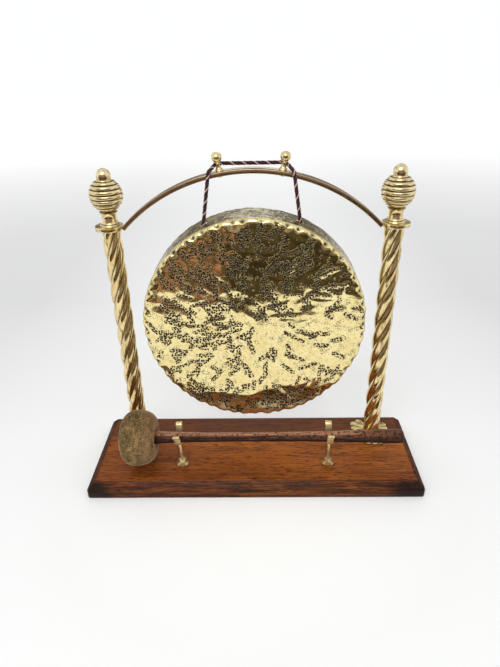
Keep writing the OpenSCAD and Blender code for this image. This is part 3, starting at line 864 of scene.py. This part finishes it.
def beaten(points):
    """Presses the hammer work into the gong's points, in its own frame: X, depth behind the face, Z."""
    x, depth, z = points.T
    radius = np.hypot(x, z)
    flat = np.column_stack([x, z, np.zeros_like(x)])
    on_face = np.clip((GONG_R - EDGE_R - radius) / 6, 0, 1) * (depth < EDGE_R)
    _, press = stroke_field(x, z)
    broad = 0.34 * wobble(flat, 52, 3) + 0.12 * wobble(flat, 26, 4)
    folds = 0.26 * np.abs(wobble(flat, 46, 5)) + 0.2 * np.abs(wobble(flat, 30, 8)) - 0.2
    outward = np.column_stack([x, np.zeros_like(x), z]) / np.maximum(radius, 1)[:, None]
    push = (press + broad + folds - crown(x, z)) * on_face
    shaped = points + np.column_stack([0 * x, push, 0 * z])
    on_rim = (radius > GONG_R - 2 * BEAD_R - 0.1) * np.clip((depth - 3) / 5, 0, 1)
    rim_work = 0.16 * wobble(points * [1, 1.6, 1], 7, 6) + 0.22 * wobble(points, 19, 7)
    shaped += outward * ((rim_work - 0.25) * on_rim)[:, None]
    for angle, size, deep in CRIMPS:
        near = np.exp(-at_crimp(points, angle, 1.6, 1.3) ** 2 / (2 * size ** 2))
        inward = np.array([-math.cos(angle), 0.8, -math.sin(angle)])
        shaped += near[:, None] * inward * deep
    return shaped


def gong_outline():
    """The sheet's section from the middle of the face, out over the edge, round the bead and back inside."""
    face = [(r, 0) for r in np.linspace(1.2, GONG_R - EDGE_R - 0.8, 84)]
    edge = arc(GONG_R - EDGE_R, EDGE_R, EDGE_R, -85, 0, 9)
    rim = [(GONG_R, d) for d in np.linspace(5, GONG_DEPTH - BEAD_R - 1, 20)]
    bead = arc(GONG_R - BEAD_R, GONG_DEPTH - BEAD_R, BEAD_R, 0, 255, 13)
    inner = [(GONG_R - RIM_T, d) for d in np.linspace(GONG_DEPTH - 2 * BEAD_R - 0.6, 5, 14)]
    corner = arc(GONG_R - EDGE_R, EDGE_R, EDGE_R - RIM_T, 0, -80, 4)
    back = [(r, FACE_T) for r in np.linspace(GONG_R - EDGE_R - 4, 1.2, 56)]
    return [*face, *edge, *rim, *bead, *inner, *corner, *back]


def gong_placed(points):
    """From the gong's own frame to the shared frame: it hangs from its cord holes, leaning a little."""
    hung = moved(points, GONG_SHIFT, -HOLE_DEPTH, -GONG_DROP)
    return moved(turned(hung, GONG_LEAN, "X"), 0, CORD_Y, KNOT_Z)


def gong_frame(points):
    """The other way, from the shared frame to the gong's own."""
    hung = turned(moved(points, 0, -CORD_Y, -KNOT_Z), -GONG_LEAN, "X")
    return moved(hung, -GONG_SHIFT, HOLE_DEPTH, GONG_DROP)


def cord_holes():
    """Cutters for the two holes in the rim, in line with the cord's legs."""
    lean = math.degrees(math.atan2(KNOT_X - PIVOT[0], PIVOT[2] - KNOT_Z))
    for s in SIDES.values():
        points, faces = lathe([(0, 2), (HOLE_R, 2), (HOLE_R, 12), (0, 12)], 32)
        yield moved(turned(points, -s * lean, "Y"), s * KNOT_X, CORD_Y, KNOT_Z), faces


def make_gong():
    points, faces = lathe([(0, 0), *gong_outline(), (0, FACE_T)], GONG_SEGMENTS)
    points, faces = points[:, [0, 2, 1]], flipped(faces)
    shape = gong_placed(beaten(points))
    radius = np.array([math.hypot(points[f[0]][0], points[f[0]][2]) for f in faces])
    depth = np.array([max(points[v][1] for v in f) for f in faces])
    on_rim = (radius > GONG_R - 8) & (depth > 6.5)
    piece = mesh_piece("gong_beaten", shape, faces, [GONG_FACE, GONG_RIM], "gong_body",
                       sharp=80, face_slots=on_rim)
    cut_away(piece, cord_holes())
    here = np.empty(len(piece.data.vertices) * 3)
    piece.data.vertices.foreach_get("co", here)
    here = gong_frame(here.reshape(-1, 3) / MM)
    share, _ = stroke_field(here[:, 0], here[:, 2])
    inside = np.hypot(here[:, 0], here[:, 2]) < GONG_R - EDGE_R + 2
    set_values(piece, "stroke", np.where(inside, share, 0.0))
    # painted shade: the inside of each dimple round the face's edge is painted near black
    dent_shade = np.zeros(len(here))
    for angle, size, deep in CRIMPS:
        dent = np.exp(-(at_crimp(here, angle, 2.9, 2.3) / (0.9 + 0.5 * size)) ** 4)
        dent_shade = np.maximum(dent_shade, dent * min(1, 0.5 + deep / 3))
    set_values(piece, "crimp_shade", dent_shade)


make_gong()


# ---- mallet and its cradles

def along_mallet(points):
    """From a frame whose Z runs along the handle to the shared frame."""
    return moved(turned(points, 90, "Y"), 0, -MALLET_Y, MALLET_Z)


def make_handle():
    grip = spline([(6.3, -101.7), (6.25, -97), (5.65, -86), (5.35, -76), (4.85, -55), (4.6, 0), (4.8, 45),
                   (5.3, 76), (5.9, 95), (6.6, 112), (6.9, 124), (6.95, 140), (6.9, 146), (6.3, 149),
                   (4.6, 150.3)], 8)
    points, faces = lathe([(0, -131.8), (4.5, -131.8), (4.5, -102), (6.1, -102), *grip, (0, 150.5)], 48)
    radial = points * [1, 1, 0]
    points = points + radial * (0.022 * wobble(points * [1, 1, 0.35], 16, 31))[:, None]
    mesh_piece("mallet_handle_turned", along_mallet(points), faces, HANDLE_WOOD, "mallet")


def make_cover():
    """A domed drum round the core, drawn in round the handle."""
    cover_r, front_h, neck_r, core_r, core_h = 28.5, 18, 6.4, 20.05, 12.6
    behind = spline([(neck_r, 17.9), (9, 18.7), (13, 19.4), (17, 19.2), (21, 17.7), (24.6, 14.4), (27.1, 9.4),
                     (28.4, 3), (cover_r, 0)], 6)
    t = np.radians(np.arange(3, 90, 3))
    front = np.column_stack([cover_r * np.cos(t) ** 0.8, -front_h * np.sin(t) ** 0.8])
    inner = [(neck_r, core_h), (core_r, core_h), (core_r, -core_h), (0, -core_h)]
    points, faces = lathe([(0, -front_h), *front[::-1], *behind[::-1], *inner], 120)
    outside = (np.hypot(points[:, 0], points[:, 1]) > core_r + 0.05) | (np.abs(points[:, 2]) > core_h + 0.1)
    swell = 0.35 * wobble(points, 22, 41) + 0.1 * wobble(points, 5, 42)
    away = points / np.maximum(np.linalg.norm(points, axis=1), 1)[:, None]
    points = points + away * (swell * outside)[:, None] - away * (0.3 * outside)[:, None]
    points = along_mallet(moved(points, z=-HEAD_X))
    cover = mesh_piece("mallet_cover_suede", points, faces, SUEDE, "mallet", sharp=60)


FORK_R, FORK_T, FORK_W, FORK_SPLAY, FORK_ARM, CURL_R = 6.8, 1.6, 6.4, 14, 8.5, 1.8
FORK_Z = 51.85
LEAN_Z = 26


def leant(points, lean):
    """Bends what stands above the cradle's foot over to one side."""
    points = np.array(points, float)
    high = points[:, 2] > LEAN_Z
    points[high] = moved(turned(moved(points[high], z=-LEAN_Z), lean, "Y"), z=LEAN_Z)
    return points


def fork_path():
    middle = FORK_R + FORK_T / 2
    half = arc(0, 0, middle, FORK_SPLAY - 90, 0, 10).tolist()
    half += [(middle, FORK_ARM * t) for t in (0.25, 0.5, 0.75)]
    half += arc(middle + FORK_T / 2 + CURL_R, FORK_ARM, CURL_R + FORK_T / 2, 180, 70, 12).tolist()
    c, s = math.cos(math.radians(FORK_SPLAY)), math.sin(math.radians(FORK_SPLAY))
    half = np.array([(x * c + y * s, y * c - x * s) for x, y in half])
    both = np.vstack([half[1:][::-1] * [-1, 1], half])
    return np.column_stack([np.zeros(len(both)), both])


def make_cradle(side, s, lean):
    def placed(points, z):
        return moved(leant(moved(points, z=z), lean), s * CRADLE_X, -MALLET_Y)

    flare = spline([(6.7, 0.1), (6.9, 0.8), (6.6, 1.6), (5.9, 2.9), (5.1, 5.0), (4.4, 7.4), (3.7, 9.2)], 4)
    ring = spline([(3.4, 9.4), (3.6, 9.7), (3.6, 10.3), (3.4, 10.7), (3.15, 10.9)], 3)
    floor = FORK_Z - FORK_R - FORK_T
    stem = [(3.1, h) for h in np.linspace(11.1, floor - BASE_THICK - 0.05, 8)]
    points, faces = lathe([(0, 0), (6.5, 0), *flare, *ring, *stem, (0, floor - BASE_THICK)], 48)
    height = points[:, 2]
    # grime in the two ring grooves, and painted shade at the foot's lower edge, where it meets the board
    settled_dirt_and_shade = sum(np.exp(-((height - groove) / 0.4) ** 2) for groove in (9.3, 10.9)) + np.exp(-height / 0.7)
    points = placed(points, BASE_THICK)
    piece = mesh_piece(f"cradle_post_{side}_turned", points, faces, AGED, "stand")
    set_values(piece, "grime", np.minimum(settled_dirt_and_shade, 1))
    points, faces = sweep(fork_path(), rounded_box_outline(FORK_T, FORK_W, 0.35), up=(1, 0, 0))
    points = placed(points, FORK_Z)
    mesh_piece(f"cradle_fork_{side}_bent", points, faces, LACQUERED, "stand")
    head = [(0, -5.5), (1.4, -5.5), (1.4, 1.35), (1.25, 1.55), (0.7, 1.68), (0, 1.7)]
    points, faces = lathe(head, 32)
    points = placed(points, floor)
    mesh_piece(f"fork_rivet_{side}_domed", points, faces, TURNED, "stand")


make_handle()
make_cover()
make_cradle("left", -1, -4)
make_cradle("right", 1, 0)


# ---- carried-over CAD nodes

def finish_cad_nodes():
    for name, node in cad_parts.items():
        if not node.hide_render:
            node.data.materials.clear()
            node.data.materials.append(HANDLE_WOOD if name == "mallet_core" else STEEL)


finish_cad_nodes()


# ---- floor and light

def rectangle(x1, x2, first, second):
    """Corners of a card that spans from x1 to x2 and from one (y, z) to another, in metres."""
    return [(x1, *first), (x2, *first), (x2, *second), (x1, *second)]


def plain_object(name, corners, material):
    mesh = bpy.data.meshes.new(name)
    mesh.from_pydata(corners, [], [tuple(range(len(corners)))])
    mesh.materials.append(material)
    piece = new_object(name, mesh)
    return piece


def make_floor():
    """A pale sheet with painted shade that greys it to the sides behind the object and a faint painted glow
    close round the object, fading to white far off, so that no horizon shows.
    """
    paint = Paint("floor_white", Roughness=0.8, Specular_IOR_Level=0.1, Emission_Color=(1, 1, 1))
    x, y, _ = paint.axes()
    away = y.spread(0, 1, -0.2, 2.2)
    middle = away.ramp((0.04, 0.93), (0.125, 0.95), (0.26, 0.93), (0.6, 0.93), (1.0, 0.96))
    # painted shade: the floor greyer to the sides behind the object
    flank = away.ramp((0.04, 0.91), (0.12, 0.82), (0.26, 0.74), (0.567, 0.83), (1.0, 0.96))
    tone = paint.mix(abs(x).spread(0, 1, 0.1, 0.4), middle, flank)
    far = paint.node("VectorMath", "Value", {0: paint.place}, operation="LENGTH")
    white = paint.done(Base_Color=paint.mix(paint.noise(3, 2).spread(0, 0.1), tone, (0.9, 0.93, 0.93)),
                       # painted light: a faint glow on the floor close round the object; far off the floor
                       # gives off light so that it fades to white
                       Emission_Strength=far.spread(0.09, 0, 0.08, 0.22) + far.spread(0, 0.25, 1.0, 2.6))
    plain_object("floor", rectangle(-6, 6, (-6, 0), (6, 0)), white)


def glow(name, scale, low, high, soft=0.1, middle=0.5):
    """A dim, uneven surface that gives its own light."""
    paint = Paint(name, Roughness=1.0, Specular_IOR_Level=0, Base_Color=(0, 0, 0), Emission_Strength=1.0)
    uneven = paint.noise(scale, 3, 0.6)
    return paint.done(Emission_Color=uneven.ramp((middle - soft, low), (middle + soft, high)))


def make_dark_room():
    """A dim room before the table, a warm patch on its floor and two dim corners behind it: glowing sheets
    that give painted reflections and show in reflections only.
    """
    near, far, wide = -0.36, -1.55, 2.2
    warm = [(-0.26, -0.37, 0.003), (-0.07, -0.37, 0.003), (-0.09, -0.95, 0.003), (-0.46, -0.95, 0.003)]
    cards = {
        "dim_floor": (rectangle(-wide, wide, (near, 0.001), (far, 0.001)),
                      (2.2, (0.034, 0.028, 0.018), (0.11, 0.084, 0.052))),
        "dim_wall": (rectangle(-wide, wide, (far, 0), (far, 1.1)),
                     (2.2, (0.18, 0.14, 0.11), (0.38, 0.31, 0.27))),
        "warm_patch": (warm, (12, (0.082, 0.066, 0.046), (0.56, 0.27, 0.215), 0.035, 0.53)),
    }
    for side, s in SIDES.items():
        cards[f"dim_corner_{side}"] = (rectangle(s * 0.3, s * 1.3, (1.8, 0.1), (1.8, 1.4)),
                                       (2.0, (0.16, 0.14, 0.12), (0.45, 0.42, 0.38)))
    for name, (shape, look) in cards.items():
        card = plain_object(name, shape, glow(name, *look))
        for ray in ("camera", "diffuse", "shadow", "transmission"):
            setattr(card, "visible_" + ray, False)


def make_light():
    """A white surround, a little dimmer overhead, and one soft light high in front."""
    world = bpy.data.worlds.new("studio")
    world.use_nodes = True
    nodes, links = world.node_tree.nodes, world.node_tree.links
    height = nodes.new("ShaderNodeSeparateXYZ")
    links.new(nodes.new("ShaderNodeTexCoord").outputs["Generated"], height.inputs[0])
    fade = nodes.new("ShaderNodeMapRange")
    for socket, value in (("From Min", 0.15), ("From Max", 0.9), ("To Min", 1.0), ("To Max", 0.84)):
        fade.inputs[socket].default_value = value
    links.new(height.outputs[2], fade.inputs["Value"])
    links.new(fade.outputs[0], nodes["Background"].inputs["Strength"])
    nodes["Background"].inputs["Color"].default_value = (0.995, 1.0, 1.0, 1)
    bpy.context.scene.world = world
    data = bpy.data.lights.new("front_soft", "AREA")
    data.size, data.energy = 0.9, 5
    light = new_object("front_soft", data)
    light.location = (-0.15, -0.85, 1.15)
    light.rotation_mode = "QUATERNION"
    light.rotation_quaternion = (Vector((0, 0, 0.1)) - light.location).to_track_quat("-Z", "Y")
    bpy.context.scene.view_settings.view_transform = "Standard"


make_floor()
make_dark_room()
make_light()
